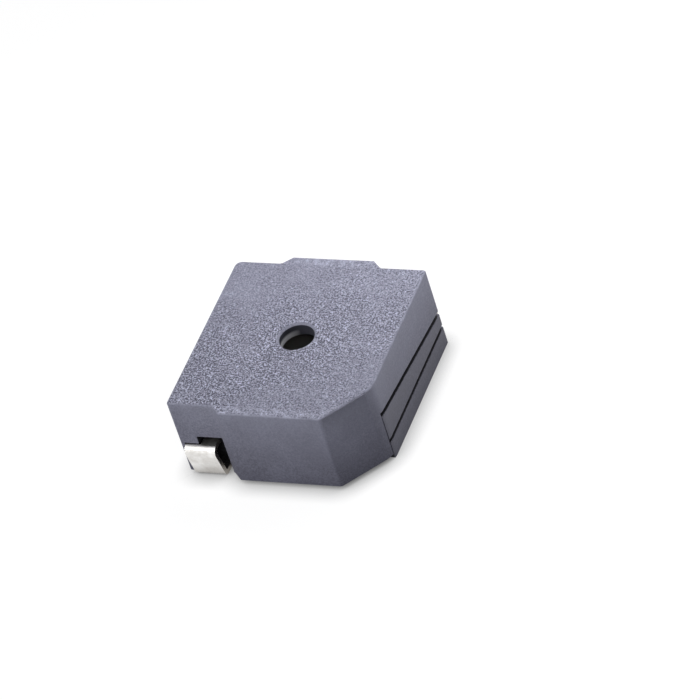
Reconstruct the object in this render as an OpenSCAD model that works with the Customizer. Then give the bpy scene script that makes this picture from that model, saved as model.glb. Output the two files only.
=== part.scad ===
// Surface mount piezo buzzer with a top sound hole, in millimetres.
// The origin is on the board, under the middle of the square body. The front is -Y and the top is +Z.

/* [Case] */
// Side of the square body
body_w = 8.5; // [7.6:0.1:9.6]
// Height from the board to the top
total_h = 4; // [3.4:0.1:5]
// Thickness of the case's side walls
case_wall = 0.55; // [0.4:0.05:0.6]
// Thickness of the case's top
top_wall = 0.6; // [0.4:0.05:0.8]
// How far the front and back tabs stand out
tab_reach = 0.4; // [0.25:0.05:0.6]
// Width of the tabs at their foot
tab_w = 4.45; // [3.6:0.05:4.5]
// Length of the slope at each end of a tab, along the wall
tab_ramp = 0.42; // [0.3:0.02:0.7]
// Length that the keyed corner takes from the front
key_front = 1.6; // [1.3:0.1:1.7]
// Length that the keyed corner takes from the side
key_side = 1.9; // [1.4:0.05:2.2]
// Radius where the keyed corner meets the side
key_side_r = 1; // [0.4:0.6:1]
// Radius where the keyed corner meets the front
key_front_r = 0.2; // [0.1:0.05:0.2]
// Radius of the other upright edges
upright_r = 0.12; // [0.12:0.01:0.25]
// Radius of the back left upright edge
back_left_r = 0.3; // [0.15:0.05:0.5]
// Width of the soft edge round the top
top_edge = 0.08; // [0.05:0.01:0.1]

/* [Sound hole] */
// Diameter of the sound hole
hole_d = 1.5; // [0.8:0.1:2.5]
// Width of the bevel round the sound hole
hole_bevel = 0.08; // [0.02:0.01:0.2]

/* [Sounder] */
// Thickness of the rim round the vibration plate
rim_t = 0.17; // [0.12:0.01:0.25]
// Thickness of the vibration plate
plate_t = 0.1; // [0.05:0.01:0.2]
// Diameter of the ceramic disc
ceramic_d = 4; // [3.2:0.1:4.2]
// Thickness of the ceramic disc
ceramic_t = 0.15; // [0.08:0.01:0.2]
// Diameter of the silver electrode
electrode_d = 3.6; // [3:0.1:3.8]
// Thickness of the silver electrode
electrode_t = 0.03; // [0.02:0.01:0.05]
// Height of the air space over the plate's seal
chamber_h = 0.6; // [0.4:0.05:0.8]
// Thickness of the silicone seal
seal_t = 0.3; // [0.2:0.05:0.4]
// Width of the rim that the plate lies on
seat_w = 0.35; // [0.3:0.05:0.4]
// Side gap round the plate
plate_gap = 0.03; // [0.02:0.01:0.05]

/* [Base] */
// Thickness of the base plate
base_t = 0.8; // [0.6:0.05:0.9]
// Gap between the base and the case
base_gap = 0.05; // [0.03:0.01:0.08]
// Place of the tongue's front end, behind the keyed corner's side end
tongue_back_off = 0.1; // [0:0.05:0.8]
// Height of the case's sloping edge at the front end of the tongue
slope_front_z = 2.5; // [2.2:0.05:2.6]
// Height of the case's sloping edge at the back corner
slope_back_z = 1.75; // [1.4:0.05:2]
// Open joint between the case's sloping edge and the tongue
joint_gap = 0.22; // [0.1:0.02:0.3]
// Height of the groove along the tongue
groove_z = 0.92; // [0.7:0.02:1.1]
// Width of the groove along the tongue
groove_w = 0.2; // [0.1:0.02:0.3]
// Depth of the groove along the tongue
groove_depth = 0.12; // [0.06:0.01:0.15]

/* [Terminals] */
// Width of the folded strip
strip_w = 1.35; // [0.8:0.05:1.4]
// Thickness of the strip
strip_t = 0.2; // [0.15:0.01:0.22]
// Distance from the side of the body to the strip
strip_inset = 0.25; // [0.25:0.01:0.35]
// How far the strip's upper fold stands out from the wall
strip_proud = 0.3; // [0.25:0.05:0.5]
// Depth of the strip's upper face below the plate's seat
strip_drop = 0.65; // [0.5:0.05:0.7]
// How far the strip leans in on its way down
strip_lean = 0.25; // [0.1:0.05:0.3]
// Inner radius of the strip's folds
fold_r = 0.1; // [0.05:0.01:0.15]
// Length of the foot under the body, from the wall's face
foot_reach = 1.5; // [1:0.05:1.8]
// Width of the tail that goes through the wall
tail_w = 0.7; // [0.5:0.05:0.8]
// Height of the pocket over the tail
pocket_over = 0.45; // [0.2:0.05:0.6]
// Width of the pocket beside the tail
pocket_side = 0.4; // [0.2:0.05:0.5]
// Width of the contact finger
finger_w = 0.5; // [0.3:0.05:0.6]
// Length of the flat tip of a finger
tip_reach = 0.5; // [0.4:0.05:0.6]
// Diameter of a conductive bond
bond_d = 0.4; // [0.3:0.02:0.46]
// Thickness of a conductive bond
bond_t = 0.08; // [0.04:0.01:0.12]
// Distance from the middle to the bond on the electrode
signal_bond_r = 1.3; // [0.8:0.05:1.4]

/* [Hidden] */
$fn = 64;

// A cut runs past the solid by this much, and a half plane by the larger one
over = 0.5;
far = 40;

// Radius of the soft top edge's arc, for each millimetre of the edge's width
softness = 1.2;

half = body_w / 2;
tab_y = half + tab_reach;

// Levels, from the board up
case_lift = strip_t + base_gap;
roof_z = total_h - top_wall;
step_z = roof_z - chamber_h;
plate_top = step_z - seal_t;
seat_z = plate_top - plate_t;
electrode_z = seat_z - ceramic_t - electrode_t;
strip_top = seat_z - strip_drop;
pocket_top = strip_top + pocket_over;

// Radii round the upright axis of the sounder, from the outside in
bore_r = half - case_wall;
ring_r = bore_r - base_gap;
lip_r = ring_r - rim_t;
plate_r = lip_r - plate_gap;
seat_r = plate_r - seat_w;

// The keyed corner: its two ends, its direction, its outward normal and its distance from the middle
key_a = [half - key_front, -tab_y];
key_b = [half, -tab_y + key_side];
key_dir = (key_b - key_a) / norm(key_b - key_a);
key_n = [key_dir.y, -key_dir.x];
key_reach = key_a * key_n;

// Outline of the case from above, as [x, y, radius], anticlockwise from the front left.
// The ends of the tabs are sharp, so their radius is 0.
tab_foot = tab_w / 2;
tab_head = tab_foot - tab_ramp;
OUTLINE = [
    [-half, -half, upright_r],
    [-tab_foot, -half, 0],
    [-tab_head, -tab_y, 0],
    [key_a.x, key_a.y, key_front_r],
    [key_b.x, key_b.y, key_side_r],
    [half, half, upright_r],
    [tab_foot, half, 0],
    [tab_head, tab_y, 0],
    [-tab_head, tab_y, 0],
    [-tab_foot, half, 0],
    [-half, half, back_left_r]
];
CORNERS = [0 : len(OUTLINE) - 1];

// The tongue of the base, its lip beside the back terminal, and the cut-out in the case that it fills
tongue_front = key_b.y + tongue_back_off;
tongue_in = bore_r - case_wall;
lip_t = strip_inset - base_gap;

// Plan of a terminal in the front left corner; the others are mirror images
strip_x = -half + strip_inset;
tail_x = strip_x + strip_w - tail_w;
tail_mid = tail_x + tail_w / 2;
tail_under = strip_top - strip_t;
tail_end = -half + case_wall + tail_w;
post_end = tail_end + tail_w;

// Folds of the strip: outer and middle radius, and centres as [outward, height] from the wall's face
fold_out = fold_r + strip_t;
fold_mid = fold_r + strip_t / 2;
upper_fold = [strip_proud - fold_out, strip_top - fold_out];
lower_fold = [upper_fold.x - strip_lean, fold_out];
lean = atan2(strip_lean, upper_fold.y - lower_fold.y);

// The finger runs from the tail's end towards the middle
finger_from = [tail_mid, tail_end - tail_w / 2];
finger_len = norm(finger_from);
finger_turn = atan2(-finger_from.y, -finger_from.x);
ground_bond_r = (ceramic_d / 2 + seat_r) / 2;

// Unit vector from corner i to its neighbour
function way(i, step) =
    let (n = len(OUTLINE), a = OUTLINE[i], b = OUTLINE[(i + n + step) % n], d = [b.x - a.x, b.y - a.y])
    d / norm(d);
function spot(i) = [OUTLINE[i].x, OUTLINE[i].y];
function half_angle(i) = acos(way(i, -1) * way(i, 1)) / 2;
function run(i) = OUTLINE[i].z / tan(half_angle(i));
function before(i) = spot(i) + way(i, -1) * run(i);
function after(i) = spot(i) + way(i, 1) * run(i);
function centre(i) =
    let (b = way(i, -1) + way(i, 1))
    spot(i) + b / norm(b) * OUTLINE[i].z / sin(half_angle(i));
function is_round(i) = OUTLINE[i].z > 0;
// How far the soft edge runs past corner i: clear of a sharp outer corner, and up to any other
function past(i) = !is_round(i) && cross(way(i, 1), way(i, -1)) > 0 ? over : 0;
function bearing(v) = atan2(v.y, v.x);

// The sliver between the tip of a rounded corner and its arc
module corner_sliver(i) {
    difference() {
        polygon([spot(i), before(i), centre(i), after(i)]);
        translate(centre(i)) circle(OUTLINE[i].z);
    }
}

module outline() {
    difference() {
        polygon([for (i = CORNERS) spot(i)]);
        for (i = CORNERS) if (is_round(i)) corner_sliver(i);
    }
}

// What the soft top edge takes off, in section: x runs inwards from the wall, y is down from the top.
// Its arc passes through both ends of the edge and meets the wall and the top at a slight angle.
module top_edge_section() {
    soft_r = softness * top_edge;
    soft_c = (top_edge + sqrt(2 * soft_r * soft_r - top_edge * top_edge)) / 2;
    difference() {
        translate([-over, -over]) square(top_edge + over);
        translate([soft_c, soft_c]) circle(soft_r);
    }
}

// The plan region that lies further out than reach along the keyed corner's normal
module beyond_key(reach) {
    rotate(bearing(key_n)) translate([reach, -far / 2]) square(far);
}

// The square inside of the case, with the keyed corner cut parallel to its outside
module inner_plan(gap) {
    difference() {
        square(2 * (bore_r - gap), center = true);
        beyond_key(key_reach - case_wall - gap);
    }
}

// Height of the case's sloping edge at a place along the side
slope = (slope_back_z - slope_front_z) / (half - tongue_front);
function slope_z(y) = slope_front_z + slope * (y - tongue_front);

// The sloping region of the right-hand side, from the front end to the back end, seen from the right
module sloping_side(front, back, low, drop) {
    polygon([[front, low], [back, low], [back, slope_z(back) - drop], [front, slope_z(front) - drop]]);
}

// Stands a section of [y, z] up along X, from x0 to x1
module along_x(x0, x1) {
    translate([x0, 0, 0]) rotate([90, 0, 90]) linear_extrude(x1 - x0) children();
}

// Copies the front left corner to each terminal's corner
module at_terminal_corners() {
    children();
    mirror([0, 1, 0]) children();
    mirror([0, 1, 0]) mirror([1, 0, 0]) children();
}

// Room in the case for the strip, its tail and the finger, in the front left corner
module terminal_pocket() {
    x0 = strip_x - base_gap;
    x1 = tail_x + tail_w + pocket_side;
    translate([tail_x - base_gap, -half - over, -over])
        cube([x1 - tail_x + base_gap, over + half + post_end + base_gap, pocket_top + over]);
    translate([x0, -half - over, -over])
        cube([x1 - x0, over + strip_lean + base_gap, strip_top + base_gap + over]);
    linear_extrude(strip_top + base_gap) finger_plan(finger_w + 2 * base_gap);
}

// The outside of the case
module case_block() {
    difference() {
        translate([0, 0, case_lift]) linear_extrude(total_h - case_lift) outline();
        for (i = CORNERS) top_edge_along(i);
        for (i = CORNERS) if (is_round(i)) top_edge_round(i);
    }
}

module case() {
    color([0.36, 0.37, 0.43])
    difference() {
        case_block();
        translate([0, 0, -over]) linear_extrude(base_t + base_gap + over) inner_plan(0);
        translate([0, 0, -over]) cylinder(r = bore_r, h = step_z + over);
        cylinder(r = seat_r, h = roof_z);
        cylinder(d = hole_d, h = total_h + over);
        translate([0, 0, total_h - hole_bevel])
            cylinder(d1 = hole_d, d2 = hole_d + 2 * (hole_bevel + over), h = hole_bevel + over);
        at_terminal_corners() terminal_pocket();
        along_x(tongue_in, half + over) sloping_side(tongue_front, half + over, -over, 0);
    }
}

// The soft top edge along the straight side after corner i
module top_edge_along(i) {
    j = (i + 1) % len(OUTLINE);
    a = after(i) - way(i, 1) * past(i);
    b = before(j) + way(i, 1) * past(j);
    translate([a.x, a.y, total_h]) rotate(bearing(b - a)) rotate([90, 0, 90])
        linear_extrude(norm(b - a)) mirror([0, 1]) top_edge_section();
}

// The soft top edge round corner i
module top_edge_round(i) {
    c = centre(i);
    r = OUTLINE[i].z;
    turn = 180 - 2 * half_angle(i);
    mid = bearing(spot(i) - c);
    translate([c.x, c.y, total_h]) rotate(mid - turn / 2) rotate_extrude(angle = turn)
        translate([r, 0]) rotate(180) top_edge_section();
}

// A post under the tail of a terminal
module tail_post() {
    y0 = -half + case_wall + base_gap;
    translate([tail_x, y0, 0]) cube([tail_w, post_end - y0, tail_under]);
}

// Room in the base for the foot, the tail and the finger of a terminal
module terminal_seat() {
    translate([strip_x - base_gap, -half, -over])
        cube([strip_w + 2 * base_gap, foot_reach + base_gap, strip_t + over]);
    translate([0, 0, tail_under]) linear_extrude(strip_t) tail_plan();
}

module base() {
    color([0.3, 0.31, 0.36])
    difference() {
        union() {
            linear_extrude(base_t) inner_plan(base_gap);
            cylinder(r = ring_r, h = plate_top);
            at_terminal_corners() tail_post();
            tongue();
        }
        translate([0, 0, base_t]) cylinder(r = seat_r, h = total_h);
        translate([0, 0, seat_z]) cylinder(r = lip_r, h = total_h);
        at_terminal_corners() terminal_seat();
        groove();
    }
}

// The tongue shows in the right-hand wall and follows its outline. Past the terminal it narrows to a lip.
module tongue() {
    inner = half - case_wall - base_gap;
    intersection() {
        linear_extrude(total_h) outline();
        union() {
            along_x(tongue_in + base_gap, half + over)
                sloping_side(tongue_front + base_gap, inner, 0, joint_gap);
            along_x(half - lip_t, half + over)
                sloping_side(inner - over, half + over, 0, joint_gap);
        }
    }
}

// The groove along the tongue's outer face
module groove() {
    translate([half - groove_depth, tongue_front - over, groove_z - groove_w / 2])
        cube([groove_depth + over, far, groove_w]);
}

// Tip of the corner between two faces, which look along two bearings at a distance from a place
function tip(place, from, to, reach) =
    let (mid = (from + to) / 2)
    place + reach / cos((to - from) / 2) * [cos(mid), sin(mid)];

// The part of that corner that lies outside a circle of radius r
module fold_corner(place, from, to, reach, r) {
    difference() {
        polygon([
            place,
            place + reach * [cos(from), sin(from)],
            tip(place, from, to, reach),
            place + reach * [cos(to), sin(to)]
        ]);
        translate(place) circle(r);
    }
}

// Section of the strip, as [outward, height]: the upper fold, the leaning leg, the lower fold and the foot.
// It is drawn with sharp folds, which are then rounded on the outside and filled on the inside.
module strip_section() {
    difference() {
        polygon([
            [upper_fold.x, strip_top],
            tip(upper_fold, -lean, 90, fold_out),
            tip(lower_fold, -90, -lean, fold_out),
            [-foot_reach, 0],
            [-foot_reach, strip_t],
            tip(lower_fold, -90, -lean, fold_r),
            tip(upper_fold, -lean, 90, fold_r),
            [upper_fold.x, tail_under]
        ]);
        fold_corner(upper_fold, -lean, 90, 2 * fold_out, fold_out);
        fold_corner(lower_fold, -90, -lean, 2 * fold_out, fold_out);
    }
    fold_corner(upper_fold, -lean, 90, fold_mid, fold_r);
    fold_corner(lower_fold, -90, -lean, fold_mid, fold_r);
}

// Plan of the straight part of the finger, from the tail to the inside of the base's ring
module finger_plan(width) {
    translate(finger_from) rotate(finger_turn) translate([0, -width / 2])
        square([finger_len - seat_r + base_gap, width]);
}

// Plan of the tail and of the straight part of the finger
module tail_plan() {
    translate([tail_x, -half - upper_fold.x]) square([tail_w, tail_end + half + upper_fold.x]);
    finger_plan(finger_w);
}

// Side view of the finger inside the ring, up to a flat tip at a height and a distance from the middle
module finger_section(tip_r, tip_z) {
    start = finger_len - seat_r;
    bend = start + base_gap;
    knee = finger_len - tip_r - tip_reach / 2;
    end = knee + tip_reach;
    polygon([
        [start, tail_under],
        [bend, tail_under],
        [knee, tip_z - strip_t],
        [end, tip_z - strip_t],
        [end, tip_z],
        [knee, tip_z],
        [bend, strip_top],
        [start, strip_top]
    ]);
}

// The finger in its place in the front left corner
module finger(tip_r, tip_z) {
    translate([finger_from.x, finger_from.y, 0]) rotate(finger_turn) translate([0, finger_w / 2, 0])
        rotate([90, 0, 0]) linear_extrude(finger_w) finger_section(tip_r, tip_z);
}

// The strip and its tail in the front left corner
module strip() {
    translate([strip_x, -half, 0]) rotate([90, 0, -90]) translate([0, 0, -strip_w])
        linear_extrude(strip_w) strip_section();
    translate([0, 0, tail_under]) linear_extrude(strip_t) tail_plan();
}

module tinned() {
    color([0.88, 0.87, 0.85]) children();
}

module signal_terminal() {
    tinned() {
        strip();
        finger(signal_bond_r, electrode_z - bond_t);
    }
}

module ground_terminal() {
    tinned() mirror([0, 1, 0]) mirror([1, 0, 0]) {
        strip();
        finger(ground_bond_r, seat_z - bond_t);
    }
}

module anchor_terminal() {
    tinned() mirror([0, 1, 0]) strip();
}

module vibration_plate() {
    color([0.62, 0.62, 0.61]) translate([0, 0, seat_z]) cylinder(r = plate_r, h = plate_t);
}

module ceramic_disc() {
    color([0.85, 0.8, 0.66]) translate([0, 0, seat_z - ceramic_t]) cylinder(d = ceramic_d, h = ceramic_t);
}

module silver_electrode() {
    color([0.9, 0.9, 0.9]) translate([0, 0, electrode_z]) cylinder(d = electrode_d, h = electrode_t);
}

module edge_seal() {
    color([0.82, 0.82, 0.8]) translate([0, 0, plate_top])
        difference() {
            cylinder(r = plate_r, h = seal_t);
            translate([0, 0, -over]) cylinder(r = seat_r, h = seal_t + 2 * over);
        }
}

// A bond under a face at height z, at a distance from the middle along the front left finger
module bond(tip_r, z) {
    translate([tip_r * cos(finger_turn + 180), tip_r * sin(finger_turn + 180), z - bond_t])
        cylinder(d = bond_d, h = bond_t);
}

module signal_bond() {
    color([0.6, 0.6, 0.62]) bond(signal_bond_r, electrode_z);
}

module ground_bond() {
    color([0.6, 0.6, 0.62]) rotate(180) bond(ground_bond_r, seat_z);
}

case();
base();
vibration_plate();
ceramic_disc();
silver_electrode();
edge_seal();
signal_terminal();
ground_terminal();
anchor_terminal();
signal_bond();
ground_bond();
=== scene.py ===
# %% [markdown]
# # Dressing a surface mount buzzer
#
# The part is a small sounder that is soldered flat on a circuit board. Its solids come from CAD and are
# already true to size, so this lesson leaves their shapes alone and gives them light, soft shading and
# finishes. The frame holds one object for each piece, in metres, with the board at z = 0 and the front
# at -Y.

import math

import bmesh
import bpy
from mathutils import Color, Matrix, Vector


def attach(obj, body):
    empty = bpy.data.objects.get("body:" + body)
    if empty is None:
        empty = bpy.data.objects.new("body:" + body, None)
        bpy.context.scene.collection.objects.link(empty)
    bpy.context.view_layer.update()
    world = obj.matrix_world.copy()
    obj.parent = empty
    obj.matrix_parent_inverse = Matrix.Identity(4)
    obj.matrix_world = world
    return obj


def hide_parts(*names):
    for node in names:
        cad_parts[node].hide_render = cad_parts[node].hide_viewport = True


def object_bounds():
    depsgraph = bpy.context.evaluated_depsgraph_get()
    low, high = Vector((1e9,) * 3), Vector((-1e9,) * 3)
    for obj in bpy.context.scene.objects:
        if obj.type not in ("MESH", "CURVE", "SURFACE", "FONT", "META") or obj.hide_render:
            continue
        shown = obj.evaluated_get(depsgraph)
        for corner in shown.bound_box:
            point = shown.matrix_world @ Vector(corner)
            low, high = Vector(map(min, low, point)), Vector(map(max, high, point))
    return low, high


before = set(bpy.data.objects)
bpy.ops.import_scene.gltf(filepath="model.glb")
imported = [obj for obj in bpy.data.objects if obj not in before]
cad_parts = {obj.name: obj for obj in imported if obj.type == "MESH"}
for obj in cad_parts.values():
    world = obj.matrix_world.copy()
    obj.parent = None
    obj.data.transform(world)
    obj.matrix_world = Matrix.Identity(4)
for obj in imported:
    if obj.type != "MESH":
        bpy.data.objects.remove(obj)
cad_low, cad_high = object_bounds()
MM = 0.001
print("pieces in the frame:", ", ".join(sorted(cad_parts)))
print("size in mm:", [round(v / MM, 2) for v in cad_high - cad_low])

# %% [markdown]
# ## The camera
#
# The picture was taken from the front right, well above the part and with a long lens, and the part looks
# askew in it. A camera can be aimed with a constraint, but three turns say more: one round the upright axis,
# one down from the horizon, and a roll about the line of sight. The roll makes the part look askew, although
# it stands level on its floor.

# %% Place the camera
CAMERA_PLACE = Vector((82.12, -130.56, 132.37)) * MM
CAMERA_AZIMUTH = 31.473
CAMERA_ELEVATION = 40.121
CAMERA_ROLL = -18.459
CAMERA_NEAREST = 10 * MM
LENS = 255.27
SENSOR = 36

camera = bpy.data.objects.new("camera", bpy.data.cameras.new("camera"))
bpy.context.scene.collection.objects.link(camera)
camera.data.sensor_width = SENSOR
camera.data.lens = LENS
camera.data.clip_start = CAMERA_NEAREST
camera.matrix_world = (
    Matrix.Translation(CAMERA_PLACE)
    @ Matrix.Rotation(math.radians(CAMERA_AZIMUTH), 4, "Z")
    @ Matrix.Rotation(math.radians(90 - CAMERA_ELEVATION), 4, "X")
    @ Matrix.Rotation(math.radians(CAMERA_ROLL), 4, "Z")
)
bpy.context.scene.camera = camera
bpy.context.scene.view_settings.view_transform = "Standard"
print("camera is", round(CAMERA_PLACE.length / MM), "mm from the part")

# %% [markdown]
# ## Sums on sockets
#
# A finish is a sum of patterns: so much grain, less of it on the walls, none in the dark inside. In the
# editor each plus or times is a Math node to wire by hand. A small class that wraps a socket lets Python's
# own operators add those nodes, so a recipe reads as a line of arithmetic. Every other node comes from one
# method of the tree.


# %% A socket that takes part in sums
class Wire:
    """An output socket that takes part in Python sums: each sum adds one Math node to its tree."""

    def __init__(self, tree, socket):
        self.tree = tree
        self.socket = socket

    def math(self, operation, *values):
        return self.tree.node("ShaderNodeMath", {"operation": operation}, dict(enumerate(values)))

    def __add__(self, other):
        return self.math("ADD", self, other)

    def __radd__(self, other):
        return self.math("ADD", other, self)

    def __sub__(self, other):
        return self.math("SUBTRACT", self, other)

    def __rsub__(self, other):
        return self.math("SUBTRACT", other, self)

    def __mul__(self, other):
        return self.math("MULTIPLY", self, other)

    def __rmul__(self, other):
        return self.math("MULTIPLY", other, self)

    def __abs__(self):
        return self.math("ABSOLUTE", self)

    def least(self, other):
        return self.math("MINIMUM", self, other)

    def smooth_least(self, other, reach):
        return self.math("SMOOTH_MIN", self, other, reach)

    def most(self, other):
        return self.math("MAXIMUM", self, other)


print("sums on sockets are ready")


# %% A tree with one way to add a node
class Tree:
    """The nodes of a material or of the world."""

    def __init__(self, owner):
        owner.use_nodes = True
        self.nodes = owner.node_tree.nodes
        self.links = owner.node_tree.links
        self.nodes.clear()

    def node(self, kind, settings=None, sockets=None, out=0):
        made = self.nodes.new(kind)
        for name, value in (settings or {}).items():
            if name == "stops":
                self.set_stops(made.color_ramp, value)
            else:
                setattr(made, name, value)
        for key, value in (sockets or {}).items():
            if isinstance(value, Wire):
                self.links.new(value.socket, made.inputs[key])
            else:
                made.inputs[key].default_value = value
        return Wire(self, made.outputs[out]) if made.outputs else made

    def set_stops(self, ramp, stops):
        while len(ramp.elements) < len(stops):
            ramp.elements.new(1)
        for element, (place, level) in zip(ramp.elements, stops):
            element.position = place
            element.color = (level, level, level, 1)


print("trees and their nodes are ready")

# %% [markdown]
# ## Patterns
#
# All the finishes are made of the same few patterns. Noise stands for anything that has no direction, such
# as grain or stains, and stretched noise for anything drawn or rolled. A scale counts features per metre, so
# the helper takes the real size of one feature and turns it round. A ramp sharpens a pattern into a mask.
# Each of its stops is a place and the level there.


# %% Patterns in true size
def tint(red, green, blue):
    """A colour as a colour picker shows it, from 0 to 255, in the linear numbers that shaders use."""
    shown = Color((red / 255, green / 255, blue / 255))
    return (*shown.from_srgb_to_scene_linear(), 1)


def place_of(tree):
    return tree.node("ShaderNodeTexCoord", out="Object")


def parts_of(tree, vector):
    """The x, y and z of a vector."""
    split = tree.node("ShaderNodeSeparateXYZ", {}, {0: vector})
    return [Wire(tree, socket) for socket in split.socket.node.outputs]


def noise(tree, place, size_mm, detail=2.0, rough=0.5):
    sockets = {"Vector": place, "Scale": 1 / (size_mm * MM), "Detail": detail, "Roughness": rough}
    return tree.node("ShaderNodeTexNoise", {}, sockets)


def stretched(tree, place, sizes_mm, detail=2.0):
    """Noise with another size of feature along each axis."""
    scale = [1 / (size * MM) for size in sizes_mm]
    longer = tree.node("ShaderNodeVectorMath", {"operation": "MULTIPLY"}, {0: place, 1: scale})
    return tree.node("ShaderNodeTexNoise", {}, {"Vector": longer, "Scale": 1.0, "Detail": detail})


def ramp(tree, value, *stops):
    return tree.node("ShaderNodeValToRGB", {"stops": stops}, {0: value})


def mix(tree, mask, first, second):
    return tree.node("ShaderNodeMix", {"data_type": "RGBA"}, {0: mask, 6: first, 7: second}, out=2)


def bump(tree, height, depth_mm):
    return tree.node("ShaderNodeBump", {}, {"Strength": 1.0, "Distance": depth_mm * MM, "Height": height})


def blank_finish(name):
    material = bpy.data.materials.new(name)
    return material, Tree(material)


def surface(tree, sockets):
    shader = tree.node("ShaderNodeBsdfPrincipled", {}, sockets)
    tree.node("ShaderNodeOutputMaterial", {}, {"Surface": shader})


print("a 0.1 mm grain has a scale of", round(1 / (0.1 * MM)))

# %% [markdown]
# ## Painted shade where the plastic is inside
#
# The case and the base are moulded in a grey, filled plastic. The gaps between them and the pockets for the
# terminals lie in shade and are painted almost black, as they look in soft light. Each shaded face could be
# painted by hand, or get a material of its own. Here the material finds the place: it asks how far a point
# lies behind the outer faces. A smooth least of two distances gives the rounded corners, where a plain least
# would leave a dark seam. The rounds are taken a little larger than the real ones, which keeps the painted
# shade off them.

# %% How far a point lies from the outer faces
BODY_HALF = cad_high.x
KEY_FRONT = 1.6 * MM
KEY_SIDE = 1.9 * MM
KEY_ROUND = 1.3 * MM
CORNER_ROUND = 0.3 * MM
SMOOTH_PARTS = 6
key_front_end = Vector((BODY_HALF - KEY_FRONT, cad_low.y))
key_side_end = Vector((BODY_HALF, cad_low.y + KEY_SIDE))
key_along = (key_side_end - key_front_end).normalized()
key_out = Vector((key_along.y, -key_along.x))
key_reach = key_out.dot(key_front_end)
key_turn = math.acos(key_out.x)


def blend(radius, turn):
    """The reach of a smooth least that takes as much off a corner as an arc of this radius and turn does.

    Where its two distances are equal, a smooth least takes off a sixth of its reach.
    """
    return SMOOTH_PARTS * radius * (1 - math.cos(turn / 2))


def depths(x, y, z):
    """In mm, how far a point lies from the nearest upright outer face, from the top and from the board."""
    walls = (BODY_HALF - abs(x)).smooth_least(BODY_HALF - abs(y), blend(CORNER_ROUND, math.pi / 2))
    key = key_reach - (x * key_out.x + y * key_out.y)
    side = walls.smooth_least(key, blend(KEY_ROUND, key_turn))
    return side * (1 / MM), (cad_high.z - z) * (1 / MM), z * (1 / MM)


print("keyed corner lies", round(key_reach / MM, 2), "mm from the middle")

# %% Painted shade of the inside and of the sound hole, with a painted lit streak
# Painted shade: the gaps and pockets behind the outer faces are coloured almost black.
INSIDE_SHADE_TINT = tint(22, 22, 27)
# The sound hole gets a paler painted shade, with a painted lit streak low on its left wall where light
# falls.
HOLE_SHADE_TINT = tint(58, 59, 68)
LIT_STREAK_TINT = tint(210, 211, 216)
HOLE_SQUARED_MM = ((0.7, 1), (0.85, 0))
LIT_STREAK_DEPTH_MM = ((0.3, 0), (0.42, 1))
LIT_STREAK_LEFT_MM = ((0.2, 0), (0.6, 1))


def painted_inside_shade(tree, x, y, from_top):
    """Painted shade, almost black, but paler in the sound hole, with a painted lit streak low on its left
    wall.
    """
    hole = ramp(tree, (x * x + y * y) * (1 / MM**2), *HOLE_SQUARED_MM)
    painted_lit_streak = ramp(tree, from_top, *LIT_STREAK_DEPTH_MM) * ramp(tree, x * (-1 / MM), *LIT_STREAK_LEFT_MM)
    return mix(tree, hole, INSIDE_SHADE_TINT, mix(tree, painted_lit_streak, HOLE_SHADE_TINT, LIT_STREAK_TINT))


print("the hole's tint fades out", round(math.sqrt(HOLE_SQUARED_MM[1][0]), 2), "mm from the middle")

# %% [markdown]
# ## Grained plastic
#
# The mould's top was spark eroded, which leaves a fine grain with paler flecks, and its walls were ground,
# so the sides are smoother. A picture of grain would need a UV map and would blur from near by. Noise in two
# sizes stays sharp at any distance. The grain isn't even: it comes in patches, is strongest along one
# diagonal and is weaker at the back. The plastic is also painted darker towards the board and paler at the
# top, a painted shade, and its top edge is paler here and there, partly rubbed and partly a painted
# highlight.

# %% Spark-eroded grain
GRAIN_MM = 0.07
FLECK_MM = 0.15
PATCH_MM = 1.8
DIAGONAL_MM = 6.4
GRAIN_WEIGHT = 1.45
FLECK_WEIGHT = 0.75
GRAIN_DROP = 0.13


def spark_grain(tree, place, x, y):
    """Fine grain with paler flecks, strongest along one diagonal and weaker at the back."""
    grain = ramp(tree, noise(tree, place, GRAIN_MM, 1), (0.3, 0), (0.7, 1)) - 0.5
    flecks = ramp(tree, noise(tree, place, FLECK_MM, 2, 0.7), (0.54, 0), (0.72, 1))
    diagonal = ramp(tree, abs(x - y) * (1 / MM / DIAGONAL_MM), (0.1, 1), (0.95, 0.45))
    from_front = (y - cad_low.y) * (1 / (cad_high.y - cad_low.y))
    ahead = ramp(tree, from_front, (0.5, 1), (0.95, 0.55))
    patches = ramp(tree, noise(tree, place, PATCH_MM, 2), (0.35, 0.6), (0.65, 1))
    return (grain * GRAIN_WEIGHT + flecks * FLECK_WEIGHT - GRAIN_DROP) * diagonal * ahead * patches


print("grain of", GRAIN_MM, "mm with flecks of", FLECK_MM, "mm")

# %% Moulded plastic with a grained top
STAIN_MM = 1.4
RIM_PATCH_MM = 0.4
SKIN_DEPTH = 0.012
DARK_DEPTH = 0.04
BEVEL_DEPTH = 0.08
WALL_GRAIN = 0.15
STAIN_WEIGHT = 0.22
PAINTED_HEIGHT_SHADE_WEIGHT = 0.34
WORN_AND_HIGHLIT_RIM_WEIGHT = 0.2
LEAST_SHADE = 0.01
GRAIN_RELIEF_MM = 0.012


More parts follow.
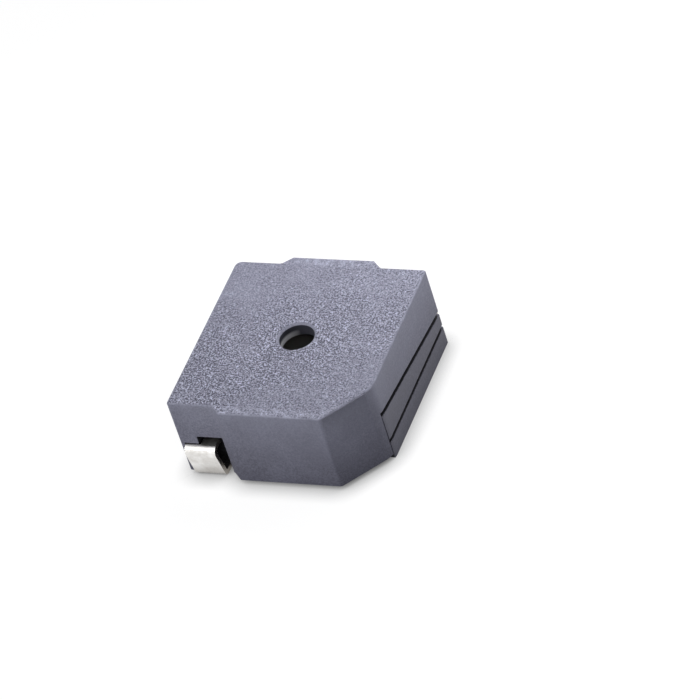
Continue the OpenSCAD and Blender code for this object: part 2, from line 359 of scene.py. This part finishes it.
def moulded(name, dark, pale):
    """Plastic between a dark and a pale tint, with painted shade, almost black, where a point lies behind
    the outer faces.
    """
    material, tree = blank_finish(name)
    place = place_of(tree)
    x, y, z = parts_of(tree, place)
    from_side, from_top, from_board = depths(x, y, z)
    facing = parts_of(tree, tree.node("ShaderNodeNewGeometry", out="True Normal"))[2]
    top = ramp(tree, facing, (0.75, 0), (0.98, 1))
    grain = spark_grain(tree, place, x, y)
    stains = noise(tree, place, STAIN_MM, 3) - 0.5
    # Painted shade: the plastic is painted darker towards the board and paler at the top.
    height = ramp(tree, z * (1 / cad_high.z), (0, 0), (0.95, 1))
    # The top edge is paler in patches, partly rubbed wear and partly a painted highlight.
    rim_patches = ramp(tree, noise(tree, place, RIM_PATCH_MM, 2), (0.42, 0), (0.62, 1))
    worn_and_highlit_rim = ramp(tree, from_side.most(from_top), (0.02, 1), (0.08, 0)) * rim_patches
    grained = grain * (top * (1 - WALL_GRAIN) + WALL_GRAIN)
    shade = grained + stains * STAIN_WEIGHT + height * PAINTED_HEIGHT_SHADE_WEIGHT + worn_and_highlit_rim * WORN_AND_HIGHLIT_RIM_WEIGHT + LEAST_SHADE
    outside = mix(tree, shade, dark, pale)
    # Painted shade: a point behind the outer faces gets the almost black inside colour.
    sunk = ramp(tree, from_side.least(from_board), (SKIN_DEPTH, 0), (DARK_DEPTH, 1))
    inside_shade_mask = sunk * ramp(tree, from_top, (BEVEL_DEPTH, 0), (BEVEL_DEPTH + DARK_DEPTH, 1))
    surface(tree, {
        "Base Color": mix(tree, inside_shade_mask, outside, painted_inside_shade(tree, x, y, from_top)),
        "Roughness": 0.55 + top * 0.1 + stains * 0.2,
        "Specular IOR Level": 0.3,
        "Normal": bump(tree, grain * top, GRAIN_RELIEF_MM),
    })
    return material


case_plastic = moulded("moulded_case", tint(89, 89, 104), tint(212, 214, 238))
base_plastic = moulded("moulded_base", tint(90, 90, 103), tint(174, 174, 191))
print("made", case_plastic.name, "and", base_plastic.name)

# %% [markdown]
# ## Tinned terminals
#
# The terminals are stamped from a bronze strip, folded and plated with tin. Tin is a soft, pale metal with a
# satin face, faint lines along the strip from rolling, small scuffs from the tape reel, and a duller tone
# near the board. The lines run down the leg and along the foot, so noise that is stretched along Y and Z,
# and fine across X, follows the fold without any UV map. The cut edges show a little of the bronze.

# %% Matte tin over bronze
LOW_TONE_HEIGHT = 0.9 * MM
ROLLED_MM = (0.03, 1.2, 1.2)
SCUFF_MM = (0.5, 0.06, 0.06)
TIN_CLOUD_MM = 0.45
BRONZE_SHARE = 0.5
TIN_DULL = tint(216, 213, 209)
TIN_BRIGHT = tint(242, 241, 239)
TIN_LOW_TONE = tint(168, 162, 153)
BRONZE = tint(196, 172, 140)


def tinned(name):
    material, tree = blank_finish(name)
    place = place_of(tree)
    rolled = stretched(tree, place, ROLLED_MM)
    clouds = noise(tree, place, TIN_CLOUD_MM, 3, 0.6)
    scuffs = ramp(tree, stretched(tree, place, SCUFF_MM), (0.62, 0), (0.7, 1))
    across = abs(parts_of(tree, tree.node("ShaderNodeNewGeometry", out="Normal"))[0])
    cut_edge = ramp(tree, across, (0.9, 0), (0.99, 1))
    # The tin is darker towards the board.
    low = ramp(tree, parts_of(tree, place)[2] * (1 / LOW_TONE_HEIGHT), (0.1, 0.7), (0.9, 0))
    plated = mix(tree, ramp(tree, clouds, (0.35, 0), (0.65, 1)), TIN_DULL, TIN_BRIGHT)
    low_toned = mix(tree, low * clouds, plated, TIN_LOW_TONE)
    surface(tree, {
        "Base Color": mix(tree, cut_edge * clouds * BRONZE_SHARE, low_toned, BRONZE),
        "Metallic": 1.0,
        "Roughness": 0.3 + clouds * 0.12 + scuffs * 0.12,
        "Normal": bump(tree, rolled * 0.6 + scuffs * 0.4, 0.003),
    })
    return material


tin = tinned("matte_tin")
print("made", tin.name)

# %% [markdown]
# ## The plate and its silver layer
#
# Through the sound hole one sees a little of the plate, a rolled disc of a grey iron and nickel alloy. Below
# it is the silver layer that feeds the ceramic disc, printed through a mesh and fired. Both could share one
# grey metal, but rolling leaves long lines and printing leaves small marks, so each has its own stretched
# noise.


# %% Rolled plate and printed silver
def rolled_plate(name):
    material, tree = blank_finish(name)
    place = place_of(tree)
    lines = stretched(tree, place, (1.5, 0.03, 1.5))
    clouds = noise(tree, place, 1.2, 2)
    surface(tree, {
        "Base Color": mix(tree, clouds, tint(176, 175, 172), tint(200, 199, 195)),
        "Metallic": 0.75,
        "Roughness": 0.32 + lines * 0.14,
        "Normal": bump(tree, lines, 0.002),
    })
    return material


def printed_silver(name):
    material, tree = blank_finish(name)
    place = place_of(tree)
    mesh_marks = stretched(tree, place, (0.08, 0.08, 1.0), 1)
    clouds = noise(tree, place, 0.8, 3)
    surface(tree, {
        "Base Color": mix(tree, clouds, tint(206, 204, 198), tint(230, 229, 225)),
        "Metallic": 0.9,
        "Roughness": 0.4 + clouds * 0.15,
        "Normal": bump(tree, mesh_marks, 0.003),
    })
    return material


plate_metal = rolled_plate("rolled_alloy")
silver = printed_silver("fired_silver")
print("made", plate_metal.name, "and", silver.name)

# %% [markdown]
# ## Ceramic, silicone and adhesive
#
# The ceramic disc bends the plate, silicone seals the plate's rim, and drops of silver adhesive join the
# terminals to the plate and to the silver layer. Nobody sees them in a whole part, and one plain grey would
# do for that, but a part from the library may be opened or cut. So each has its own finish: fired, poured
# or dabbed on.


# %% Fired ceramic, poured silicone and silver adhesive
def fired_ceramic(name):
    material, tree = blank_finish(name)
    place = place_of(tree)
    grains = noise(tree, place, 0.05, 2)
    clouds = noise(tree, place, 0.9, 2)
    surface(tree, {
        "Base Color": mix(tree, grains * 0.5 + clouds * 0.5, tint(190, 170, 130), tint(218, 202, 166)),
        "Roughness": 0.6 + grains * 0.15,
        "Normal": bump(tree, grains, 0.003),
    })
    return material


def poured_silicone(name):
    material, tree = blank_finish(name)
    place = place_of(tree)
    flow = noise(tree, place, 0.7, 2)
    specks = ramp(tree, noise(tree, place, 0.09, 1), (0.66, 0), (0.7, 1))
    surface(tree, {
        "Base Color": mix(tree, flow * 0.8 + specks * 0.2, tint(188, 188, 184), tint(212, 212, 208)),
        "Roughness": 0.35 + flow * 0.1,
        "Normal": bump(tree, flow, 0.02),
    })
    return material


def silver_adhesive(name):
    material, tree = blank_finish(name)
    place = place_of(tree)
    flakes = noise(tree, place, 0.03, 2, 0.7)
    surface(tree, {
        "Base Color": mix(tree, flakes, tint(140, 140, 142), tint(196, 195, 192)),
        "Metallic": 0.6,
        "Roughness": 0.45 + flakes * 0.2,
        "Normal": bump(tree, flakes, 0.006),
    })
    return material


ceramic = fired_ceramic("fired_ceramic")
silicone = poured_silicone("poured_silicone")
adhesive = silver_adhesive("silver_adhesive")
print("made", ", ".join(m.name for m in (ceramic, silicone, adhesive)))

# %% [markdown]
# ## Soft shading
#
# The frame's meshes are faceted, because CAD turns each arc into short flats. They stay as they are, and
# each piece gets a dressed copy that stands in for it. In the copy the triangles of a flat face are joined
# into one face, edges that turn sharply stay sharp, and the rest shade smoothly. Normals weighted by area
# keep the large flats flat, which a plain smooth shade would spoil. The mesh is handled in millimetres,
# where Blender's tools are happier than with hundredths of a millimetre written in metres.

# %% Dress each piece
WELD_MM = 0.0005
FLAT_ANGLE = math.radians(0.5)
SHARP_ANGLE = math.radians(32)


def dressed(node, material):
    """A copy of a CAD piece with welded, flattened faces and smooth arcs."""
    mesh = bpy.data.meshes.new(node + "_dressed")
    bm = bmesh.new()
    bm.from_mesh(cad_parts[node].data)
    bmesh.ops.scale(bm, vec=(1 / MM,) * 3, verts=bm.verts)
    bmesh.ops.remove_doubles(bm, verts=bm.verts, dist=WELD_MM)
    bmesh.ops.dissolve_limit(bm, angle_limit=FLAT_ANGLE, verts=bm.verts, edges=bm.edges)
    bmesh.ops.scale(bm, vec=(MM,) * 3, verts=bm.verts)
    bm.to_mesh(mesh)
    bm.free()
    mesh.shade_smooth()
    mesh.set_sharp_from_angle(angle=SHARP_ANGLE)
    mesh.materials.append(material)
    piece = bpy.data.objects.new(node + "_dressed", mesh)
    bpy.context.scene.collection.objects.link(piece)
    weighted = piece.modifiers.new("weighted", "WEIGHTED_NORMAL")
    weighted.keep_sharp = True
    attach(piece, "root")
    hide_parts(node)
    return piece


FINISHES = {
    "case": (case_plastic, "case_plastic"),
    "base": (base_plastic, "base_plastic"),
    "vibration_plate": (plate_metal, "plate_metal"),
    "ceramic_disc": (ceramic, "ceramic"),
    "silver_electrode": (silver, "silver"),
    "edge_seal": (silicone, "silicone"),
    "signal_terminal": (tin, "tinned_strip"),
    "ground_terminal": (tin, "tinned_strip"),
    "anchor_terminal": (tin, "tinned_strip"),
    "signal_bond": (adhesive, "conductive_bond"),
    "ground_bond": (adhesive, "conductive_bond"),
}
for node, (material, slot) in FINISHES.items():
    piece = dressed(node, material)
    print(piece.name, "has", len(piece.data.polygons), "faces")

# %% [markdown]
# ## The floor
#
# The part stands on white paper in soft light. A white floor could be made by lighting it hard, but that
# would wash out the part and throw light up at its walls. Instead the paper is grey and glows for the camera
# and for reflections only. The glow fades where the part shelters the paper, so it reads as white paper with
# a soft shadow.

# %% A white floor that keeps its shadow
FLOOR_HALF = 3
FLOOR_GLOW = 0.88
PAPER_TINT = tint(130, 130, 131)
SHADOW_REACH = 0.9 * MM


def seen(tree):
    """1 for what the camera sees, also in a reflection or through glass, and 0 for light on a surface."""
    path = tree.node("ShaderNodeLightPath").socket.node.outputs
    direct = Wire(tree, path["Is Camera Ray"])
    reflected = Wire(tree, path["Is Glossy Ray"])
    through = Wire(tree, path["Is Transmission Ray"])
    return direct.most(reflected).most(through)


paper, paper_tree = blank_finish("white_paper")
# The glow fades near the part, which paints a soft shadow on the paper.
open_sky = paper_tree.node("ShaderNodeAmbientOcclusion", {}, {"Distance": SHADOW_REACH}, out="AO")
surface(paper_tree, {
    "Base Color": PAPER_TINT,
    "Roughness": 0.9,
    "Specular IOR Level": 0.0,
    "Emission Color": seen(paper_tree) * open_sky,
    "Emission Strength": FLOOR_GLOW,
})
floor_mesh = bpy.data.meshes.new("floor")
corners = [(x * FLOOR_HALF, y * FLOOR_HALF, 0) for x, y in ((-1, -1), (1, -1), (1, 1), (-1, 1))]
floor_mesh.from_pydata(corners, [], [(0, 1, 2, 3)])
floor_mesh.materials.append(paper)
floor = bpy.data.objects.new("floor", floor_mesh)
floor.location.z = cad_low.z
bpy.context.scene.collection.objects.link(floor)
print("floor is", 2 * FLOOR_HALF, "m wide")

# %% [markdown]
# ## The light
#
# A near lamp behind the part makes the top palest at the back, a wide one lights the front, a small one the
# right wall, and a faint one beside the camera reaches into the hole. A lamp that is moved twice as far away
# needs four times the power, so the helper takes a level instead and works out the power. A dim sky fills
# the shadows, and the camera sees it as white.

# %% Soft lamps and a plain sky
SKY_LEVEL = 0.2
WHITE = (1, 1, 1, 1)


def lamp(name, azimuth, elevation, distance_mm, size_mm, level):
    """An area lamp aimed at the part. At level 1, a face that looks at it shows its colour as written."""
    distance = distance_mm * MM
    around = Matrix.Rotation(math.radians(azimuth), 4, "Z")
    upward = Matrix.Rotation(math.radians(90 - elevation), 4, "X")
    light = bpy.data.lights.new(name, "AREA")
    light.size = size_mm * MM
    light.energy = level * math.pi**2 * distance**2
    holder = bpy.data.objects.new(name, light)
    holder.matrix_world = around @ upward @ Matrix.Translation((0, 0, distance))
    bpy.context.scene.collection.objects.link(holder)


lamp("key", azimuth=165, elevation=50, distance_mm=25, size_mm=20, level=0.48)
lamp("front_fill", azimuth=-40, elevation=35, distance_mm=200, size_mm=120, level=0.45)
lamp("right_fill", azimuth=120, elevation=25, distance_mm=30, size_mm=20, level=0.18)
lamp("hole_fill", azimuth=36, elevation=42, distance_mm=250, size_mm=30, level=0.07)
sky = bpy.data.worlds.new("sky")
bpy.context.scene.world = sky
sky_tree = Tree(sky)
soft = sky_tree.node("ShaderNodeBackground", {}, {"Color": WHITE, "Strength": SKY_LEVEL})
bright = sky_tree.node("ShaderNodeBackground", {}, {"Color": WHITE, "Strength": 1.0})
both = sky_tree.node("ShaderNodeMixShader", {}, {0: seen(sky_tree), 1: soft, 2: bright})
sky_tree.node("ShaderNodeOutputWorld", {}, {"Surface": both})
